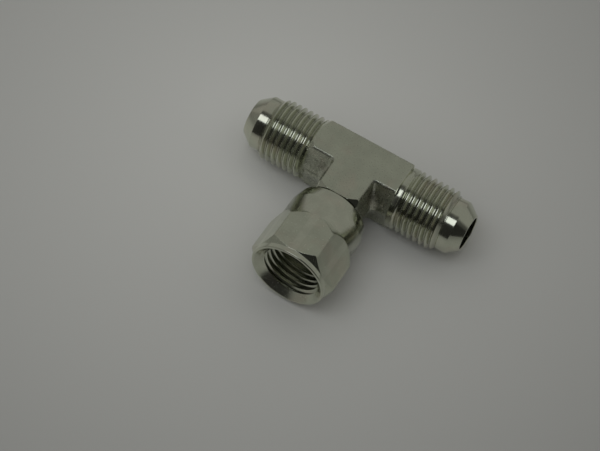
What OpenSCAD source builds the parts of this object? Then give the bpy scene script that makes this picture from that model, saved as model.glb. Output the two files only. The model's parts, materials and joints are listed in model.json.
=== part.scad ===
// Swivel-nut branch tee with 37-degree flare ends, size 6 (9/16-18 UNF threads), in millimetres.
// The run lies along X and the branch along -Y. The origin is where the two axes cross.
// Screw threads are plain cylinders: male at the major diameter, female at the minor diameter.

/* [Run] */
// Length of the run from tip to tip
run_len = 53.85; // [50:0.05:60]
// Diameter of the bore through the run
bore_d = 7.54; // [7.2:0.01:7.9]

/* [Flare ends] */
// Major diameter of the male threads
thread_d = 14.288; // [14.2:0.001:14.3]
// Distance from the tip back to the first thread
nose_len = 4.93; // [4:0.01:5.5]
// Diameter of the plain land between the cone and the thread
land_d = 12.3; // [12:0.01:12.6]
// Diameter of the rim at the tip
tip_d = 8.4; // [8.1:0.01:8.8]
// Half angle of the flare cones
flare_angle = 37; // [35:1:39]
// Diameter of the smooth neck between the thread and the block
neck_d = 13.9; // [13.2:0.01:14.1]
// Length of the smooth neck beside the block's right end
neck_len = 1.9; // [0.6:0.1:2.2]

/* [Forged block] */
// Distance between the flat top and bottom pads
pad_h = 14.52; // [14.4:0.02:15]
// Length of the run pad
pad_len = 20.36; // [19:0.02:22]
// Width of the run pad at its flat
pad_w = 7.7; // [7:0.1:8.5]
// Width of the stem pad at its flat, next to the run
stem_w = 9; // [8.6:0.1:9.6]
// Slope of the forged walls from upright
draft_angle = 5; // [4:1:8]
// Diameter of the round barrels under the pads
barrel_d = 11.8; // [11:0.1:12.4]
// Distance from the run's axis to the stem's machined end
stem_end = 11.75; // [11.5:0.05:12]
// Radius of the inside corners between run and stem
web_r = 1.3; // [1:0.1:2]

/* [Tail] */
// Diameter of the bore up the branch
branch_bore_d = 7; // [6:0.1:7]
// Diameter of the tail's neck behind the nut's collar
tail_neck_d = 11; // [10.6:0.1:11.2]
// Diameter of the tail's head inside the nut
head_d = 13.8; // [13.6:0.02:13.84]
// Distance from the run's axis to the seat's rim
seat_y = 21.6; // [21.2:0.1:22]

/* [Swivel nut] */
// Distance across the flats of the hexagon
hex_af = 17.4625; // [17.4:0.0125:17.5]
// Turn of the hexagon about the branch axis at rest
hex_turn = 3; // [0:1:30]
// Distance from the run's axis to the nut's front face
nut_front = 31.15; // [31:0.05:31.5]
// Distance from the run's axis to the nut's rear rim
nut_rear = 12.1; // [12:0.05:12.3]
// Distance from the run's axis to the front of the hexagon's corners
hex_front = 28.7; // [28.4:0.05:29]
// Distance from the run's axis to the rear of the hexagon's corners
hex_rear = 22.1; // [21.9:0.05:22.3]
// Diameter of the turned boss in front of the hexagon
boss_d = 17.4; // [17.2:0.02:17.46]
// Outer diameter of the collar behind the hexagon
collar_d = 17.3; // [17.1:0.02:17.46]
// Minor diameter of the female thread
nut_thread_d = 12.9; // [12.8:0.01:13]
// Mouth diameter of the countersink
mouth_d = 16.3; // [16:0.05:16.6]
// Radial running gap between the tail's head and the nut
fit_gap = 0.08; // [0.03:0.01:0.1]

/* [Hidden] */
$fn = 96;

eps = 0.01;
// Depth that a turned end runs into the block
joint_depth = 0.2;
half_run = run_len / 2;
pad_top = pad_h / 2;
pad_end = pad_len / 2;
thread_r = thread_d / 2;
land_r = land_d / 2;
tip_r = tip_d / 2;
neck_r = neck_d / 2;
head_r = head_d / 2;
tail_neck_r = tail_neck_d / 2;

// Male end: the cone, the land, the 45-degree lead and the thread, from the tip inwards
cone_len = (land_r - tip_r) / tan(flare_angle);
thread_lead = thread_r - land_r;
thread_start = half_run - nose_len;
neck_step = thread_r - neck_r;

// Rounded edge between each flat and the forged walls, drawn as one bevel
edge_step = 0.42;
edge_drop = 0.4;

// Lathe cuts that round the ends of the left run pad and the stem pad
cut_r = 9.2;
cut_angle = 40;
left_cut_step = 0.1;
left_cut_r = neck_r + left_cut_step;
left_pad_extra = 1.4;
left_pad_end = pad_end + left_pad_extra;
// Plain neck that shows between the left pad's end and the thread
left_neck_len = 0.1;
stem_cut_step = 0.3;
stem_cut_r = pad_top + stem_cut_step;

// Tail: the shoulder that the rolled collar holds, and the flare seat
shoulder_front = 15.2;
shoulder_len = 1.4;
seat_rim_r = 6.15;
branch_bore_r = branch_bore_d / 2;
seat_depth = (seat_rim_r - branch_bore_r) / tan(flare_angle);

// Nut, from the rear rim forwards
hex_corner_r = hex_af / sqrt(3);
collar_r = collar_d / 2;
boss_r = boss_d / 2;
nut_bore_r = head_r + fit_gap;
lip_gap = 0.35;
lip_r = tail_neck_r + lip_gap;
rim_r = 7.9;
crimp_len = 3;
rear_taper_angle = 31;
front_chamfer_angle = 48;
front_break = 0.3;
nut_thread_r = nut_thread_d / 2;
relief_gap = 0.4;
relief_end = seat_y + relief_gap;
mouth_r = mouth_d / 2;
mouth_depth = mouth_r - nut_thread_r;
head_gap = 0.25;
// Length of hexagon bar beyond each end of the nut, before turning
bar_extra = 1;

// Turns a profile of [distance, radius] points about the X axis.
module turned_x(profile) {
    rotate([90, 0, 90])
        rotate_extrude()
            polygon([for (p = profile) [p[1], p[0]]]);
}

// Turns a profile of [distance, radius] points about the branch axis, distance running along -Y.
module turned_branch(profile) {
    rotate([90, 0, 0])
        rotate_extrude()
            polygon([for (p = profile) [p[1], p[0]]]);
}

// One male end on +X: smooth neck from the block's end, thread, land and flare cone.
module male_end(block_end, neck_end) {
    turned_x([
        [block_end - joint_depth, 0],
        [block_end - joint_depth, neck_r],
        [neck_end, neck_r],
        [neck_end + neck_step, thread_r],
        [thread_start - thread_lead, thread_r],
        [thread_start, land_r],
        [half_run - cone_len, land_r],
        [half_run, tip_r],
        [half_run, 0]
    ]);
}

// Upper and lower pads of one arm: a bar with bevelled edges whose walls slope by the draft angle.
module pad_section(top_w) {
    wall_top = pad_top - edge_drop;
    wall_x = top_w / 2 + edge_step;
    spread = wall_top * tan(draft_angle);
    for (side = [0, 1])
        mirror([0, side, 0])
            polygon([
                [-wall_x - spread, 0],
                [-wall_x, wall_top],
                [-top_w / 2, pad_top],
                [top_w / 2, pad_top],
                [wall_x, wall_top],
                [wall_x + spread, 0]
            ]);
}

// Fillet that fills the inside corner between the run pad and the stem pad.
module web_fillet() {
    translate([stem_w / 2, -pad_w / 2 - web_r, -pad_top])
        difference() {
            translate([-eps, 0, 0]) cube([web_r + eps, web_r + eps, pad_h]);
            translate([web_r, 0, -eps]) cylinder(r = web_r, h = pad_h + 2 * eps);
        }
}

// Forged block: the run bar, the stem bar, the barrels and the lathe cuts at the bars' ends.
module block() {
    intersection() {
        translate([-left_pad_end, 0, 0])
            rotate([90, 0, 90])
                linear_extrude(left_pad_end + pad_end)
                    pad_section(pad_w);
        turned_x([
            [-left_pad_end, 0],
            [-left_pad_end, left_cut_r],
            [-left_pad_end + (cut_r - left_cut_r) / tan(cut_angle), cut_r],
            [pad_end + eps, cut_r],
            [pad_end + eps, 0]
        ]);
    }
    intersection() {
        rotate([90, 0, 0])
            linear_extrude(stem_end)
                pad_section(stem_w);
        turned_branch([
            [0, 0],
            [0, cut_r],
            [stem_end - (cut_r - stem_cut_r) / tan(cut_angle), cut_r],
            [stem_end, stem_cut_r],
            [stem_end, 0]
        ]);
    }
    web_fillet();
    mirror([1, 0, 0]) web_fillet();
    turned_x([[-left_pad_end, 0], [-left_pad_end, barrel_d / 2], [pad_end, barrel_d / 2], [pad_end, 0]]);
}

// Tail: a neck, the shoulder that the rolled collar holds, and a head.
module tail() {
    turned_branch([
        [0, 0],
        [0, tail_neck_r],
        [shoulder_front - shoulder_len, tail_neck_r],
        [shoulder_front, head_r],
        [seat_y, head_r],
        [seat_y, 0]
    ]);
}

// One forging: block, two male ends and tail, drilled through the run and up the branch.
module tee_body() {
    color("darkkhaki")
        difference() {
            union() {
                block();
                male_end(pad_end, pad_end + neck_len);
                mirror([1, 0, 0]) male_end(left_pad_end, left_pad_end + left_neck_len);
                tail();
            }
            turned_x([
                [-half_run - eps, 0],
                [-half_run - eps, bore_d / 2],
                [half_run + eps, bore_d / 2],
                [half_run + eps, 0]
            ]);
            turned_branch([
                [0, 0],
                [0, branch_bore_r],
                [seat_y - seat_depth, branch_bore_r],
                [seat_y, seat_rim_r],
                [seat_y + eps, seat_rim_r],
                [seat_y + eps, 0]
            ]);
        }
}

// Outside of the nut: a hexagon bar turned down to the collar, the corners and the front boss.
module nut_outside() {
    rear_taper_len = (hex_corner_r - collar_r) / tan(rear_taper_angle);
    front_chamfer_len = (hex_corner_r - boss_r) / tan(front_chamfer_angle);
    intersection() {
        translate([0, -nut_rear + bar_extra, 0])
            rotate([90, hex_turn, 0])
                cylinder(r = hex_corner_r, h = nut_front - nut_rear + 2 * bar_extra, $fn = 6);
        turned_branch([
            [nut_rear, 0],
            [nut_rear, rim_r],
            [nut_rear + crimp_len, collar_r],
            [hex_rear - rear_taper_len, collar_r],
            [hex_rear, hex_corner_r - eps],
            [hex_front, hex_corner_r - eps],
            [hex_front + front_chamfer_len, boss_r],
            [nut_front - front_break, boss_r],
            [nut_front, boss_r - front_break],
            [nut_front, 0]
        ]);
    }
}

// Swivel nut: thread, relief for the tail's head and the rolled collar behind its shoulder.
module swivel_nut() {
    color("silver")
        difference() {
            nut_outside();
            turned_branch([
                [nut_rear - eps, 0],
                [nut_rear - eps, lip_r],
                [shoulder_front - shoulder_len - head_gap, lip_r],
                [shoulder_front - head_gap, nut_bore_r],
                [relief_end, nut_bore_r],
                [relief_end + nut_bore_r - nut_thread_r, nut_thread_r],
                [nut_front - mouth_depth, nut_thread_r],
                [nut_front, mouth_r],
                [nut_front + eps, mouth_r],
                [nut_front + eps, 0]
            ]);
        }
}

tee_body();
swivel_nut();
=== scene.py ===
import json
import math

import bmesh
import bpy
import numpy as np
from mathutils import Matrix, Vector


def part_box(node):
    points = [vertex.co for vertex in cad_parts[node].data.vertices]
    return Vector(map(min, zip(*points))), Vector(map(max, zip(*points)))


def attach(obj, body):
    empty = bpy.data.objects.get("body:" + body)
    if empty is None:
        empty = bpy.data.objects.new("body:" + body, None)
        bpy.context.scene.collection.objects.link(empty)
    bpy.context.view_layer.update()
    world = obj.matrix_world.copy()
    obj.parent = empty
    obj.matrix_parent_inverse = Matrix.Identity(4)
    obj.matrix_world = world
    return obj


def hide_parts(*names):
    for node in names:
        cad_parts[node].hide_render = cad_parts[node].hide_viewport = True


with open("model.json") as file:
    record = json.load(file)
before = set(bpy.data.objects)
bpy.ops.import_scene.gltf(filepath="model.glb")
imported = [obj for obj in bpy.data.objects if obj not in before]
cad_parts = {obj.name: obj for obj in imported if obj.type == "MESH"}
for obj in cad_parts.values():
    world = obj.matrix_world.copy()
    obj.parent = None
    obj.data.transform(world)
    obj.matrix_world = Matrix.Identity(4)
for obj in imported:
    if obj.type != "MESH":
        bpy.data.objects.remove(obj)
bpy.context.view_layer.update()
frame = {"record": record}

import openvdb
from mathutils import Matrix, Vector

# ---------------------------------------------------------------- sizes, in millimetres
# Lengths are worked out in millimetres, and MM turns them into metres.
MM = 0.001
mounts = {m["name"]: m for m in frame["record"]["mounts"]}
tee_low, tee_high = (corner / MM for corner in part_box("tee_body"))
nut_low, nut_high = (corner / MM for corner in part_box("swivel_nut"))


def mount_r(name):
    """Radius of a round mount."""
    return mounts[name]["dims"]["r_mm"]


# Run and flare ends, measured outwards from the middle of the run
HALF_RUN = tee_high.x
BORE_R = mount_r("run_bore")
THREAD_R = mount_r("male_end_right")
PITCH = 25.4 / 18
MALE_DEPTH = 0.6134 * PITCH
LAND_R = 6.15
TIP_R = 4.2
FLARE_SLOPE = math.tan(math.radians(37))
THREAD_START = HALF_RUN - 4.93
NECK_R = 7.02
LEFT_NECK_START = 11.3
# Distance from the middle of the run at which a crest crosses a male end's crest angle
CREST_AT = 19.8
# Depth of the groove between a land and its thread
UNDERCUT = 0.12

# Forged block
PAD_TOP = mounts["upper_pad"]["pos_m"][2] / MM
PAD_END = 10.18
LEFT_PAD_END = 11.58
PAD_HALF_W = 3.85
STEM_HALF_W = 4.5
BARREL_R = 5.88
DRAFT = math.tan(math.radians(5))
# The forged walls round over towards each flat, which cuts the rounding off where it tilts by this much.
PAD_EDGE_R = 0.7
PAD_EDGE_TILT = math.radians(18)
STEM_END = 11.72
LEFT_CUT_R = 7.05
STEM_CUT_R = 7.56
CUT_ANGLE = math.radians(40)
WEB_R = 1.25
# How much each side of the stem comes in along its length
STEM_TAPER = 0.03
# Blends between the two barrels, and from the barrels to the pads and the flash
BARREL_BLEND = 1.8
PAD_BLEND = 0.9
# Trimmed flash along the parting plane: how far it stands out, its half height and its rounded edge
FLASH_OUT = 0.04
FLASH_HALF_H = 0.3
FLASH_ROUND = 0.25
# Unevenness of the forged skin, as depth, cell and seed: all over in two sizes, and near the flats' edges
SKIN_WAVES = ((0.03, 1.7, 3), (0.02, 0.7, 5))
EDGE_WAVES = (0.035, 0.45, 7)
EDGE_REACH = 0.5
# Grid that the forging is meshed on
GRID_STEP = 0.175
GRID_MARGIN = 0.6

# Tail inside the nut, as distances along the branch
BRANCH_R = mount_r("branch_bore")
TAIL_NECK_R = 5.5
HEAD_R = 6.9
SEAT_RIM_R = 6.15
SEAT_Y = -tee_low.y
SHOULDER_FRONT = 15.2
SHOULDER_LEN = 1.4

# Swivel nut, as distances along the branch
NUT_FRONT = -nut_low.y
NUT_REAR = -nut_high.y
NUT_THREAD_R = mount_r("nut_thread")
HEX_HALF = 17.4625 / 2
HEX_CORNER = HEX_HALF / math.cos(math.radians(30))
HEX_TURN = math.radians(3)
HEX_FRONT = 28.7
HEX_REAR = 22.1
COLLAR_R = 8.65
BOSS_R = 8.68
RIM_R = 7.9
LIP_R = TAIL_NECK_R + 0.35
NUT_BORE_R = HEAD_R + 0.08
# The room round the tail's head, from behind its shoulder to past the seat
HEAD_STOP = SHOULDER_FRONT - 0.25
RELIEF_END = SEAT_Y + 0.4
MOUTH_R = 8.15
CRIMP_LEN = 3.0
REAR_TAPER = math.tan(math.radians(31))
FRONT_CHAMFER = math.tan(math.radians(48))
# How much is off the hexagon's corners, and how softly
CORNER_BREAK = 0.1
CORNER_SOFTNESS = 0.09

# Steps round a turned piece, and round the nut, where each corner of the hexagon has its own column
COLUMNS = 144
NUT_COLUMNS = 192
# Edges sharper than this, in degrees, aren't smoothed over
SHARP_ANGLE = 32


# ---------------------------------------------------------------- mesh tools
def new_object(name, points, faces):
    """A mesh object from points in millimetres."""
    mesh = bpy.data.meshes.new(name)
    mesh.from_pydata((np.asarray(points, float) * MM).tolist(), [], faces)
    work = bmesh.new()
    work.from_mesh(mesh)
    bmesh.ops.recalc_face_normals(work, faces=work.faces)
    work.to_mesh(mesh)
    work.free()
    obj = bpy.data.objects.new(name, mesh)
    bpy.context.scene.collection.objects.link(obj)
    return obj


def rounded(corners, steps=4):
    """Points along a line of (along, radius, fillet) corners, with an arc wherever there is a fillet."""
    line = []
    for i, (a, r, fillet) in enumerate(corners):
        here = np.array([a, r], float)
        if fillet <= 0 or i in (0, len(corners) - 1):
            line.append(here)
            continue
        back = np.array(corners[i - 1][:2], float) - here
        ahead = np.array(corners[i + 1][:2], float) - here
        room = 0.49 * min(np.linalg.norm(back), np.linalg.norm(ahead))
        back /= np.linalg.norm(back)
        ahead /= np.linalg.norm(ahead)
        half = math.acos(max(-1.0, min(1.0, float(back @ ahead)))) / 2
        reach = min(fillet / math.tan(half), room)
        middle = (back + ahead) / np.linalg.norm(back + ahead)
        centre = here + middle * reach / math.cos(half)
        start = here + back * reach - centre
        end = here + ahead * reach - centre
        turn = math.atan2(start[0] * end[1] - start[1] * end[0], float(start @ end))
        for k in range(steps + 1):
            c, s = math.cos(turn * k / steps), math.sin(turn * k / steps)
            line.append(centre + np.array([start[0] * c - start[1] * s, start[0] * s + start[1] * c]))
    return np.array(line)


def turned(name, profile, closed=False, columns=COLUMNS, offset=0.0):
    """A lathe solid about +X from a line of (along, radius) points, or from a function that gives the
    line at an angle. An open line has both ends on the axis. A closed line makes a ring."""
    angles = [offset + 2 * math.pi * k / columns for k in range(columns)]
    lines = [profile(t) if callable(profile) else profile for t in angles]
    rows = range(len(lines[0])) if closed else range(1, len(lines[0]) - 1)
    height = len(rows)
    points, faces = [], []
    for t, line in zip(angles, lines):
        points += [(line[i][0], line[i][1] * math.cos(t), line[i][1] * math.sin(t)) for i in rows]
    for k in range(columns):
        here, after = k * height, (k + 1) % columns * height
        for i in range(height if closed else height - 1):
            j = (i + 1) % height
            faces.append((here + i, here + j, after + j, after + i))
    if not closed:
        for end, row in ((0, 0), (-1, height - 1)):
            points.append((lines[0][end][0], 0, 0))
            hub = len(points) - 1
            faces += [(hub, k * height + row, (k + 1) % columns * height + row) for k in range(columns)]
    return new_object(name, points, faces)


def thread_form(crest_r, root_r, root_half, crest_round, root_round):
    """(along, radius) points over one pitch of a 60-degree thread, from one root's middle to the next."""
    flank = (crest_r - root_r) * math.tan(math.radians(30))
    corners = [(0, root_r, 0), (root_half, root_r, root_round), (root_half + flank, crest_r, crest_round),
               (PITCH - root_half - flank, crest_r, crest_round), (PITCH - root_half, root_r, root_round),
               (PITCH, root_r, 0)]
    return rounded(corners, 3)[:-1]


def threaded_rod(name, form, start, end, phase, fade=None):
    """A right-handed screw about +X that reaches past start and end. A crest passes angle 0 at phase,
    and fade gives the share of the full depth that is cut at a place along the screw."""
    rows = len(form)
    first = phase - PITCH / 2 + PITCH * math.floor((start - phase) / PITCH - 1.5)
    turns = math.ceil((end - first) / PITCH) + 2
    height = turns * rows
    crest_r = max(r for _, r in form)
    points, faces = [], []
    for k in range(COLUMNS):
        t = 2 * math.pi * k / COLUMNS
        for turn in range(turns):
            for a, r in form:
                x = first + turn * PITCH + a + PITCH * k / COLUMNS
                radius = crest_r - (crest_r - r) * (fade(x) if fade else 1)
                points.append((x, radius * math.cos(t), radius * math.sin(t)))
    for k in range(COLUMNS - 1):
        for i in range(height - 1):
            low, high = k * height + i, (k + 1) * height + i
            faces.append((low, low + 1, high + 1, high))
    last = (COLUMNS - 1) * height
    for i in range(height - 1 - rows):
        faces.append((last + i, last + i + 1, i + 1 + rows, i + rows))
    # The last column meets the first one a pitch further on, so each end's rim steps back by a pitch.
    low_rim = [k * height for k in range(COLUMNS)] + list(range(rows, 0, -1))
    high_rim = [k * height + height - 1 for k in range(COLUMNS)]
    high_rim += [last + i for i in range(height - 2, height - 2 - rows, -1)]
    for rim in (low_rim, high_rim):
        points.append((sum(points[i][0] for i in rim) / len(rim), 0, 0))
        hub = len(points) - 1
        faces += [(hub, rim[i], rim[(i + 1) % len(rim)]) for i in range(len(rim))]
    return new_object(name, points, faces)


def combine(obj, tool, operation):
    """Replaces obj's mesh by its boolean with tool, and removes tool."""
    modifier = obj.modifiers.new("combine", "BOOLEAN")
    modifier.operation = operation
    modifier.solver = "MANIFOLD"
    modifier.object = tool
    bpy.context.view_layer.update()
    result = bpy.data.meshes.new_from_object(obj.evaluated_get(bpy.context.evaluated_depsgraph_get()))
    obj.modifiers.clear()
    obj.data = result
    bpy.data.objects.remove(tool)
    return obj


def place(obj, turn_z):
    """Turns a piece made along +X about the Z axis."""
    obj.data.transform(Matrix.Rotation(math.radians(turn_z), 4, "Z"))
    return obj


def point_array(obj):
    """The mesh's points in millimetres."""
    co = np.empty(len(obj.data.vertices) * 3)
    obj.data.vertices.foreach_get("co", co)
    return co.reshape(-1, 3) / MM


# ---------------------------------------------------------------- forged block
def soft_max(a, b, r):
    """The larger of two distances, with the edge between them rounded to radius r."""
    return np.minimum(np.maximum(a, b), -r) + np.hypot(np.maximum(a + r, 0), np.maximum(b + r, 0))


def soft_min(a, b, r):
    """The smaller of two distances, with the inside corner filled to radius r."""
    return -soft_max(-a, -b, r)


def smooth_noise(spot, cell, seed, lattice=32):
    """Random values from -1 to 1 on a lattice that repeats, blended smoothly between its points."""
    table = np.random.RandomState(seed).uniform(-1, 1, (lattice, lattice, lattice))
    low = [np.floor(v / cell).astype(int) for v in spot]
    part = [v / cell - w for v, w in zip(spot, low)]
    part = [p * p * (3 - 2 * p) for p in part]
    value = 0.0
    for corner in np.ndindex(2, 2, 2):
        weight = math.prod(p if c else 1 - p for p, c in zip(part, corner))
        value = value + weight * table[tuple((w + c) % lattice for w, c in zip(low, corner))]
    return value


def block_outline(x, y, z):
    """Distance to the pads' walls, which lean out towards the parting plane."""
    lean = (PAD_TOP - np.abs(z)) * DRAFT
    stem_half = STEM_HALF_W - STEM_TAPER * np.maximum(-y - PAD_HALF_W, 0)
    run = np.abs(y) - PAD_HALF_W - lean
    stem = np.maximum(np.abs(x) - stem_half - lean, y)
    return soft_min(run, stem, WEB_R)


def end_cuts(x, y, z):
    """Distances to the lathe cuts that finish the left run pad and the stem pad."""
    slope, cosine = math.tan(CUT_ANGLE), math.cos(CUT_ANGLE)
    left = (np.hypot(y, z) - LEFT_CUT_R - (x + LEFT_PAD_END) * slope) * cosine
    stem = (np.hypot(x, z) - STEM_CUT_R - (STEM_END + y) * slope) * cosine
    return left, stem


def cone_cut(name, radius, end):
    """A ring about +X that cuts a cone from radius at end outwards, and the face beyond it."""
    far, wide = 4.0, 6.0
    return turned(name, np.array([
        (end, radius), (end - wide / math.tan(CUT_ANGLE), radius + wide), (end + far, radius + wide),
        (end + far, radius)]), closed=True)


def block_distance(x, y, z):
    """Signed distance to the forging's surface."""
    outline = block_outline(x, y, z)
    above = np.abs(z) - PAD_TOP
    pads = soft_max(outline - PAD_EDGE_R * (1 - math.sin(PAD_EDGE_TILT)),
                    above - PAD_EDGE_R * (1 - math.cos(PAD_EDGE_TILT)), PAD_EDGE_R)
    run_barrel = np.hypot(y, z) - BARREL_R
    stem_barrel = np.maximum(np.hypot(x, z) - BARREL_R, y)
    body = soft_min(pads, soft_min(run_barrel, stem_barrel, BARREL_BLEND), PAD_BLEND)
    mid = soft_min(np.maximum(np.abs(y) - BARREL_R, np.abs(x) - PAD_END),
                   np.maximum(np.abs(x) - BARREL_R, y), WEB_R)
    body = soft_min(body, soft_max(mid - FLASH_OUT, np.abs(z) - FLASH_HALF_H, FLASH_ROUND), PAD_BLEND)
    # The skin is uneven, most of all along the flats' front edges. The flats themselves are coined smooth.
    spot = (x, y, z)
    rough = sum(depth * smooth_noise(spot, cell, seed) for depth, cell, seed in SKIN_WAVES)
    frontness = np.clip(1 - y / 3, 0.15, 1)
    near_edge = np.exp(-(outline ** 2 + above ** 2) / EDGE_REACH ** 2) * frontness
    fade = 0.3
    flat = np.clip((-0.25 - outline) / fade, 0, 1) * np.clip((above + 0.5) / fade, 0, 1)
    edge_depth, edge_cell, edge_seed = EDGE_WAVES
    nicks = edge_depth * near_edge * smooth_noise(spot, edge_cell, edge_seed)
    rough = rough * (0.45 + 0.8 * near_edge) * (1 - flat) + nicks
    skin = np.maximum(body + rough, above)
    # The right end runs on past its real place, for the disc cut that squares it.
    run_on = 0.4
    ends = np.maximum(x - PAD_END - run_on, -STEM_END - y)
    return np.maximum(np.maximum(skin, -LEFT_PAD_END - x), ends)


def forged_block():
    """The forging's skin, meshed from its distance field."""
    # The right end and the back reach a little past the block's own sizes.
    over = 0.3
    low = np.array([-LEFT_PAD_END, -STEM_END, -PAD_TOP]) - GRID_MARGIN
    high = np.array([PAD_END + over, BARREL_R + over, PAD_TOP]) + GRID_MARGIN
    counts = np.ceil((high - low) / GRID_STEP).astype(int)
    x, y, z = np.meshgrid(*(low[i] + GRID_STEP * np.arange(counts[i]) for i in range(3)), indexing="ij")
    grid = openvdb.FloatGrid(10.0)
    grid.copyFromArray(np.ascontiguousarray(block_distance(x, y, z), dtype=np.float32))
    points, quads = grid.convertToQuads(isovalue=0.0)
    return new_object("block", points * GRID_STEP + low, [tuple(q) for q in quads.tolist()])


# ---------------------------------------------------------------- machined ends and tail
def male_end(name, neck_start, neck_end, fade_from, fade_to, crest_angle):
    """One threaded flare end along +X: neck, screw, land and cone. The thread's depth fades in between two
    distances, and a crest lies at crest_angle, in degrees about the run, at CREST_AT."""
    phase = CREST_AT - PITCH * crest_angle / 360
    # The crests stay just inside the thread's nominal size.
    form = thread_form(THREAD_R - 0.004, THREAD_R - MALE_DEPTH, root_half=0.10, crest_round=0.07,
                       root_round=0.04)
    rod = threaded_rod(name, form, neck_start - 1, THREAD_START, phase,
                       lambda x: min(1.0, max(0.0, (x - fade_from) / (fade_to - fade_from))))
    # The envelope clears the crests, and its two slopes are the thread's run-out and its 45-degree lead.
    clear_r = THREAD_R + 0.3
    envelope = turned("envelope", rounded([
        (neck_start, 0, 0), (neck_start, NECK_R, 0.12), (neck_end, NECK_R, 0.1),
        (neck_end + (clear_r - NECK_R) * 0.7, clear_r, 0), (THREAD_START - (clear_r - LAND_R), clear_r, 0),
        (THREAD_START, LAND_R, 0), (THREAD_START, 0, 0)]))
    combine(rod, envelope, "INTERSECT")
    cone_start = HALF_RUN - (LAND_R - TIP_R) / FLARE_SLOPE
    core_r = BARREL_R - 0.5
    groove_r = LAND_R - UNDERCUT
    core = turned("core", rounded([
        (PAD_END - 2, 0, 0), (PAD_END - 2, core_r, 0), (THREAD_START - 1.2, core_r, 0),
        (THREAD_START - 0.6, groove_r, 0.1), (THREAD_START + 0.12, groove_r, 0.05),
        (THREAD_START + 0.26, LAND_R, 0.06), (cone_start, LAND_R, 0.12),
        (HALF_RUN, TIP_R, 0.1), (HALF_RUN, 0, 0)]))
    return combine(rod, core, "UNION")


def tail():
    """The turned tail along +X: neck, shoulder and head."""
    return turned("tail", rounded([
        (1, 0, 0), (1, TAIL_NECK_R, 0), (SHOULDER_FRONT - SHOULDER_LEN, TAIL_NECK_R, 0.3),
        (SHOULDER_FRONT, HEAD_R, 0.2), (SEAT_Y, HEAD_R, 0.25), (SEAT_Y, 0, 0)]))


def bore_cut():
    """The drill through the run, with its mouths broken."""
    mouth = 0.12
    reach = HALF_RUN + 1
    return turned("bore", np.array([
        (-reach, 0), (-reach, BORE_R + mouth + 1), (-HALF_RUN + mouth, BORE_R), (HALF_RUN - mouth, BORE_R),
        (reach, BORE_R + mouth + 1), (reach, 0)]))


def branch_cut():
    """The drill up the branch along +X, with the flare seat."""
    seat = SEAT_Y - (SEAT_RIM_R - BRANCH_R) / FLARE_SLOPE
    return turned("branch", np.array([
        (0.2, 0), (0.2, BRANCH_R), (seat, BRANCH_R), (SEAT_Y, SEAT_RIM_R),
        (SEAT_Y + 1, SEAT_RIM_R + FLARE_SLOPE), (SEAT_Y + 1, 0)]))


def tee_body():
    """The whole forging as one closed mesh."""
    body = forged_block()
    body.name = "tee_forging"
    disc_r, disc_end = 12, PAD_END + 3
    right_cut = turned("right_cut", np.array([
        (PAD_END, 0), (PAD_END, disc_r), (disc_end, disc_r), (disc_end, 0)]))
    combine(body, right_cut, "DIFFERENCE")
    combine(body, place(cone_cut("left_cut", LEFT_CUT_R, LEFT_PAD_END), 180), "DIFFERENCE")
    combine(body, place(cone_cut("stem_cut", STEM_CUT_R, STEM_END), -90), "DIFFERENCE")
    right_end = male_end("right_end", neck_start=PAD_END - 0.05, neck_end=11.3, fade_from=11.2,
                         fade_to=12.5, crest_angle=118.0)
    left_end = male_end("left_end", neck_start=LEFT_NECK_START, neck_end=11.6, fade_from=11.0,
                        fade_to=12.0, crest_angle=62.0)
    combine(body, right_end, "UNION")
    combine(body, place(left_end, 180), "UNION")
    combine(body, place(tail(), -90), "UNION")
    combine(body, bore_cut(), "DIFFERENCE")
    combine(body, place(branch_cut(), -90), "DIFFERENCE")
    return body


# ---------------------------------------------------------------- swivel nut
def nut_line(angle):
    """The nut's closed section at an angle about its axis, in (along, radius) points."""
    sixth = math.radians(60)
    # Seen from the front the flats lie square to -90 and 90 degrees, turned by the hexagon's own turn.
    local = (angle - math.radians(90) - HEX_TURN + sixth / 2) % sixth - sixth / 2
    flat_r = HEX_HALF / math.cos(local)
    edge_r = HEX_CORNER - CORNER_BREAK
    flat_r = edge_r - 0.5 * ((edge_r - flat_r) + math.hypot(edge_r - flat_r, CORNER_SOFTNESS))
    taper_start = HEX_REAR - (HEX_CORNER - COLLAR_R) / REAR_TAPER
    taper_end = taper_start + (flat_r - COLLAR_R) / REAR_TAPER
    chamfer_start = HEX_FRONT + (HEX_CORNER - flat_r) / FRONT_CHAMFER
    chamfer_end = HEX_FRONT + (HEX_CORNER - BOSS_R) / FRONT_CHAMFER
    step = NUT_BORE_R - NUT_THREAD_R
    corners = [
        (NUT_REAR + 0.5, LIP_R, 0.0), (NUT_REAR, LIP_R, 0.25), (NUT_REAR, RIM_R, 0.35),
        (NUT_REAR + CRIMP_LEN, COLLAR_R, 2.5), (taper_start, COLLAR_R, 0.0), (taper_end, flat_r, 0.12),
        (chamfer_start, flat_r, 0.1), (chamfer_end, BOSS_R, 0.1), (NUT_FRONT, BOSS_R, 0.26),
        (NUT_FRONT, MOUTH_R, 0.06), (NUT_FRONT - 0.4, MOUTH_R - 0.4, 0), (NUT_FRONT - 0.8, MOUTH_R - 0.8, 0),
        (NUT_FRONT - MOUTH_R + NUT_THREAD_R, NUT_THREAD_R, 0.05),
        (RELIEF_END + step, NUT_THREAD_R, 0.05), (RELIEF_END, NUT_BORE_R, 0.05),
        (HEAD_STOP, NUT_BORE_R, 0.1), (HEAD_STOP - SHOULDER_LEN, LIP_R, 0.1), (NUT_REAR + 0.5, LIP_R, 0.0)]
    return rounded(corners)[:-1]


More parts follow.
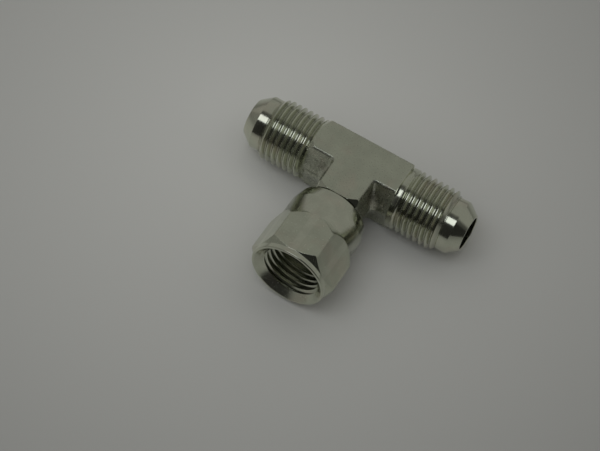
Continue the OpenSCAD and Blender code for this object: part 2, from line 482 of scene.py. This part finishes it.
def swivel_nut():
    """The nut along the branch as one closed mesh, with its screw thread cut."""
    nut = turned("nut_shell", nut_line, closed=True, columns=NUT_COLUMNS, offset=math.radians(90) + HEX_TURN)
    form = thread_form(THREAD_R + 0.05, NUT_THREAD_R - 0.02, root_half=0.12, crest_round=0.04,
                       root_round=0.05)
    tap = threaded_rod("tap", form, SEAT_Y, NUT_FRONT, 0.0)
    stop = turned("stop", np.array([
        (SEAT_Y + 0.2, 0), (SEAT_Y + 0.2, NUT_BORE_R - 0.05), (SEAT_Y + 0.5, THREAD_R + 0.2),
        (NUT_FRONT + 0.5, THREAD_R + 0.2), (NUT_FRONT + 0.5, 0)]))
    combine(tap, stop, "INTERSECT")
    combine(nut, tap, "DIFFERENCE")
    return place(nut, -90)


def shade(obj, angle):
    """Smooth shading with sharp edges above an angle in degrees. Faces in the pads' planes stay flat."""
    for polygon in obj.data.polygons:
        polygon.use_smooth = abs(abs(polygon.center.z) / MM - PAD_TOP) > 0.002
    obj.data.set_sharp_from_angle(angle=math.radians(angle))


# ---------------------------------------------------------------- the object
tee = tee_body()
shade(tee, SHARP_ANGLE)
nut = swivel_nut()
shade(nut, SHARP_ANGLE)


# ---------------------------------------------------------------- materials
def node(tree, kind, inputs=(), **settings):
    """Adds a shader node, sets its properties, and fills or links its inputs."""
    made = tree.nodes.new(kind)
    for key, value in settings.items():
        setattr(made, key, value)
    for key, value in dict(inputs).items():
        if isinstance(value, bpy.types.NodeSocket):
            tree.links.new(value, made.inputs[key])
        else:
            made.inputs[key].default_value = value
    return made


def maths(tree, operation, a, b=0.0):
    return node(tree, "ShaderNodeMath", {0: a, 1: b}, operation=operation).outputs[0]


def remap(tree, value, low, high, to_low, to_high):
    return node(tree, "ShaderNodeMapRange", {"Value": value, "From Min": low, "From Max": high,
                                             "To Min": to_low, "To Max": to_high}).outputs["Result"]


def noise(tree, vector, scale, detail=2.0):
    return node(tree, "ShaderNodeTexNoise",
                {"Vector": vector, "Scale": scale, "Detail": detail}).outputs["Fac"]


def plated_metal(name, color, rough, grain=0.0, rings=0.0, axis="x", grain_scale=5.0, wear=0.25, groove_shade=None):
    """Zinc-plated steel. Grain is the depth of a forged skin and rings the depth of tool marks, both in mm.
    Groove shade gives the radii between which painted shade in a thread's roots gives way to slightly
    painted-lighter crests."""
    mat = bpy.data.materials.new(name)
    mat.use_nodes = True
    tree = mat.node_tree
    shader = tree.nodes["Principled BSDF"]
    place_mm = node(tree, "ShaderNodeVectorMath", {0: node(tree, "ShaderNodeTexCoord").outputs["Object"],
                                                   "Scale": 1 / MM}, operation="SCALE").outputs[0]
    # Most of a noise texture's values lie between these two.
    low, high = 0.3, 0.7
    clouds = noise(tree, place_mm, 0.35, 3.0)
    mottle = noise(tree, place_mm, 2.6, 4.0)
    # Worn edges, where a rounded-off normal leaves the real one
    geometry = node(tree, "ShaderNodeNewGeometry")
    soft_normal = node(tree, "ShaderNodeBevel", {"Radius": 0.16 * MM}, samples=4).outputs[0]
    facing = node(tree, "ShaderNodeVectorMath", {0: soft_normal, 1: geometry.outputs["Normal"]},
                  operation="DOT_PRODUCT").outputs["Value"]
    edge = remap(tree, facing, 0.985, 0.86, 0.0, 1.0)
    edge = maths(tree, "MULTIPLY", edge, remap(tree, mottle, 0.35, 0.6, 0.3, 1.0))
    tone = maths(tree, "MULTIPLY", remap(tree, clouds, low, high, 0.93, 1.05),
                 remap(tree, mottle, low, high, 0.95, 1.04))
    tone = maths(tree, "ADD", tone, maths(tree, "MULTIPLY", edge, wear))
    parts = node(tree, "ShaderNodeSeparateXYZ", {0: place_mm}).outputs
    along, across = (parts["X"], parts["Y"]) if axis == "x" else (parts["Y"], parts["X"])
    radius = maths(tree, "SQRT", maths(tree, "ADD", maths(tree, "MULTIPLY", across, across),
                                       maths(tree, "MULTIPLY", parts["Z"], parts["Z"])))
    # Painted shade: a thread's roots are painted darker and its crests painted slightly lighter.
    if groove_shade:
        tone = maths(tree, "MULTIPLY", tone, remap(tree, radius, groove_shade[0], groove_shade[1], 0.79, 1.04))
    warm = remap(tree, noise(tree, place_mm, 0.22, 2.0), 0.5, 0.68, 0.0, 0.6)
    warm_color = (color[0] * 1.05, color[1] * 0.96, color[2] * 0.97)
    tint = node(tree, "ShaderNodeMix", {0: warm, 4: color, 5: warm_color}, data_type="VECTOR").outputs[1]
    shade_color = node(tree, "ShaderNodeVectorMath", {0: tint, "Scale": tone}, operation="SCALE").outputs[0]
    tree.links.new(shade_color, shader.inputs["Base Color"])
    shader.inputs["Metallic"].default_value = 1.0
    spread = maths(tree, "ADD", remap(tree, mottle, low, high, -0.25 * rough, 0.25 * rough), rough)
    spread = maths(tree, "SUBTRACT", spread, maths(tree, "MULTIPLY", edge, 0.3 * rough))
    tree.links.new(spread, shader.inputs["Roughness"])
    height = 0.0
    if grain:
        pits = noise(tree, place_mm, grain_scale, 5.0)
        waves = noise(tree, place_mm, 1.1, 2.0)
        height = maths(tree, "ADD", maths(tree, "MULTIPLY", pits, grain),
                       maths(tree, "MULTIPLY", waves, grain * 1.5))
    if rings:
        lathe = node(tree, "ShaderNodeCombineXYZ", {"X": along, "Y": radius}).outputs[0]
        marks = noise(tree, lathe, 9.0, 3.0)
        height = maths(tree, "ADD", height, maths(tree, "MULTIPLY", marks, rings))
    if grain or rings:
        bump = node(tree, "ShaderNodeBump", {"Height": height, "Distance": MM, "Strength": 1.0})
        tree.links.new(bump.outputs[0], shader.inputs["Normal"])
    return mat


ZINC = (0.60, 0.62, 0.51)
FORGED_ZINC = (0.50, 0.515, 0.425)
DULL_ZINC = (0.56, 0.585, 0.475)
coined = plated_metal("coined_zinc", DULL_ZINC, 0.34, grain=0.0015, grain_scale=2.5)
forged = plated_metal("forged_zinc", FORGED_ZINC, 0.3, grain=0.07, grain_scale=5.0, wear=0.6)
turned_x = plated_metal("turned_zinc_run", ZINC, 0.14, grain=0.002, rings=0.002, axis="x")
turned_y = plated_metal("turned_zinc_branch", ZINC, 0.17, grain=0.003, rings=0.002, axis="y")
# Both screw materials paint shade into their thread roots.
thread_zinc = plated_metal("thread_zinc", ZINC, 0.17, grain=0.008, rings=0.005, axis="x", wear=0.05,
                           groove_shade=(THREAD_R - MALE_DEPTH, THREAD_R - 0.25))
nut_thread_zinc = plated_metal("nut_thread_zinc", ZINC, 0.2, grain=0.004, rings=0.003, axis="y",
                               groove_shade=(THREAD_R, NUT_THREAD_R + 0.1))
mouth_zinc = plated_metal("mouth_zinc", ZINC, 0.22, grain=0.002, rings=0.004, axis="y")
hex_zinc = plated_metal("hex_zinc", DULL_ZINC, 0.22, grain=0.005)


def assign(obj, materials, choose):
    """Gives each face a material. choose takes face centres in millimetres and gives slot numbers."""
    obj.data.materials.clear()
    for mat in materials:
        obj.data.materials.append(mat)
    centres = np.empty(len(obj.data.polygons) * 3)
    obj.data.polygons.foreach_get("center", centres)
    slots = choose(centres.reshape(-1, 3).T / MM)
    obj.data.polygons.foreach_set("material_index", slots.astype(np.int32))


# How far a face's centre may lie off the cut that it belongs to, and past the edge of a turned stretch
ON_SURFACE = 0.03
PAST_EDGE = 0.05
# How far down the coined metal reaches, where the screw metal starts and where the collar's metal ends
COINED_DEPTH = 0.07
SCREW_START = PAD_END + 1.6
COLLAR_END = HEX_REAR - 2.2


def tee_faces(centre):
    """Slots: 0 forged, 1 turned about the run, 2 turned about the branch, 3 screw thread, 4 coined pad."""
    x, y, z = centre
    run_r = np.hypot(y, z)
    far = np.abs(x)
    left, stem = (np.abs(v) < ON_SURFACE for v in end_cuts(x, y, z))
    slots = np.where(np.abs(z) > PAD_TOP - COINED_DEPTH, 4, 0)
    slots[left] = 1
    slots[stem] = 2
    slots[(y < -STEM_END + 0.02) | (np.hypot(x, z) < BRANCH_R + PAST_EDGE) & (y < -BORE_R)] = 2
    left_neck = (x < PAST_EDGE - LEFT_NECK_START) & (run_r > BARREL_R)
    slots[(run_r < BORE_R + PAST_EDGE) | (x > PAD_END) | (x < -LEFT_PAD_END) | left_neck] = 1
    slots[(slots == 1) & (far < THREAD_START) & (run_r > BARREL_R) & (far > SCREW_START)] = 3
    return slots


def nut_faces(centre):
    """Slots: 0 hexagon, 1 turned, 2 screw thread, 3 countersink."""
    x, y, z = centre
    r = np.hypot(x, z)
    slots = np.zeros(x.shape)
    slots[(-y < COLLAR_END) | (r < BOSS_R + 0.1)] = 1
    slots[(r < THREAD_R + 0.1) & (-y > SEAT_Y + 0.3)] = 2
    slots[np.abs(r - MOUTH_R + NUT_FRONT + y) < ON_SURFACE] = 3
    return slots


assign(tee, [forged, turned_x, turned_y, thread_zinc, coined], tee_faces)
assign(nut, [hex_zinc, turned_y, nut_thread_zinc, mouth_zinc], nut_faces)

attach(tee, "tee")
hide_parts("tee_body")
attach(nut, "nut")
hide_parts("swivel_nut")

# ---------------------------------------------------------------- floor, light and camera
# The part lies on its lower pad and on one corner of the nut, so the floor leans down towards the nut.
tee_points, nut_points = point_array(tee), point_array(nut)


def support(points, slope):
    """Height at Y = 0 of the highest floor with this slope that stays under the points."""
    return float((points[:, 2] - slope * points[:, 1]).min())


# Halve the range of slopes until the part's two supports meet the floor together
gentle, steep = 0.0, 0.3
for _ in range(30):
    slope = (gentle + steep) / 2
    if support(nut_points, slope) < support(tee_points, slope):
        gentle = slope
    else:
        steep = slope
floor_mesh = bpy.data.meshes.new("floor")
floor_mesh.from_pydata([(-1, -1, 0), (1, -1, 0), (1, 1, 0), (-1, 1, 0)], [], [(0, 1, 2, 3)])
floor = bpy.data.objects.new("floor", floor_mesh)
bpy.context.scene.collection.objects.link(floor)
floor.location = (0, 0, support(tee_points, slope) * MM)
floor.rotation_euler = (math.atan(slope), 0, 0)
paper = bpy.data.materials.new("paper")
paper.use_nodes = True
paper_tree = paper.node_tree
# A painted pool of light: the paper is painted palest under the left end of the run and painted darker away
# from there, where the lamps' light falls off.
LIGHT_POOL_TO_MIDDLE = (0.026, -0.005, 0.0)
LIGHT_POOL_FADE = 0.12
POOL_LIT_TONE, POOL_DIM_TONE = 0.77, 0.405
floor_place = node(paper_tree, "ShaderNodeTexCoord").outputs["Object"]
light_pool_place = node(paper_tree, "ShaderNodeVectorMath", {0: floor_place, 1: LIGHT_POOL_TO_MIDDLE}).outputs[0]
distance = node(paper_tree, "ShaderNodeVectorMath", {0: light_pool_place}, operation="LENGTH").outputs["Value"]
# Painted light: this tone stands in for the lamps' light fading across the paper.
painted_light_tone = remap(paper_tree, distance, 0.0, LIGHT_POOL_FADE, POOL_LIT_TONE, POOL_DIM_TONE)
paper_and_painted_light_color = node(paper_tree, "ShaderNodeVectorMath", {0: (1.0, 1.0, 0.95), "Scale": painted_light_tone},
                   operation="SCALE").outputs[0]
paper_tree.links.new(paper_and_painted_light_color, paper_tree.nodes["Principled BSDF"].inputs["Base Color"])
paper_tree.nodes["Principled BSDF"].inputs["Roughness"].default_value = 0.9
floor_mesh.materials.append(paper)

# The room is dull on the side the part is seen from, pale behind it and to its left, and a little paler
# overhead.
world = bpy.data.worlds.new("room")
bpy.context.scene.world = world
world.use_nodes = True
room = world.node_tree
look = node(room, "ShaderNodeSeparateXYZ", {0: node(room, "ShaderNodeTexCoord").outputs["Generated"]}).outputs
above = remap(room, look["Y"], -0.14, -0.04, 0.0, 0.2)
behind = remap(room, look["Y"], 0.02, 0.20, 0.0, 1.0)
beside = remap(room, look["X"], -0.30, -0.52, 0.0, 0.7)
pale = maths(room, "MAXIMUM", maths(room, "MAXIMUM", above, behind), beside)
glow = maths(room, "ADD", maths(room, "MULTIPLY", pale, 0.248), 0.022)
room_color = node(room, "ShaderNodeVectorMath", {0: (1.0, 1.0, 0.94), "Scale": glow},
                  operation="SCALE").outputs[0]
room.links.new(room_color, room.nodes["Background"].inputs["Color"])


def softbox(name, direction, distance, width, height, radiance, color=(1, 1, 1)):
    """An area light that faces the origin from a direction."""
    data = bpy.data.lights.new(name, "AREA")
    data.shape = "RECTANGLE"
    data.size, data.size_y, data.color = width, height, color
    data.energy = radiance * math.pi * width * height
    lamp = bpy.data.objects.new(name, data)
    bpy.context.scene.collection.objects.link(lamp)
    back = Vector(direction).normalized()
    side = Vector((1, 0, 0)) - back * back.x
    side.normalize()
    rise = back.cross(side)
    lamp.matrix_world = Matrix((
        (side.x, rise.x, back.x, back.x * distance), (side.y, rise.y, back.y, back.y * distance),
        (side.z, rise.z, back.z, back.z * distance), (0, 0, 0, 1)))
    return lamp


softbox("window", direction=(-0.16, -0.38, 0.91), distance=0.6, width=0.40, height=0.25, radiance=1.25,
        color=(0.97, 1.0, 1.04))
# The fill lights the paper evenly and isn't mirrored in the metal.
fill = softbox("fill", direction=(0.0, -0.32, 0.95), distance=0.8, width=1.7, height=1.7, radiance=0.34)
fill.visible_glossy = False

# The camera looks down at the nut's side of the part from its front right. It is rolled, so that the run
# drops to the right.
AZIMUTH, ELEVATION, ROLL = (math.radians(angle) for angle in (20.992, 56.626, 11.234))
AIM = Vector((-4.103, -18.678, 0.0)) * MM
VIEW_DISTANCE = 509.85 * MM
camera_data = bpy.data.cameras.new("camera")
camera = bpy.data.objects.new("camera", camera_data)
bpy.context.scene.collection.objects.link(camera)
bpy.context.scene.camera = camera
back = Vector((math.sin(AZIMUTH) * math.cos(ELEVATION), -math.cos(AZIMUTH) * math.cos(ELEVATION),
               math.sin(ELEVATION)))
level = Vector((math.cos(AZIMUTH), math.sin(AZIMUTH), 0))
right = level * math.cos(ROLL) + back.cross(level) * math.sin(ROLL)
turn = Matrix((right, back.cross(right), back)).transposed()
camera.matrix_world = Matrix.Translation(AIM + back * VIEW_DISTANCE) @ turn.to_4x4()
camera_data.sensor_width = 36
camera_data.lens = 143.96

bpy.context.scene.view_settings.view_transform = "Standard"
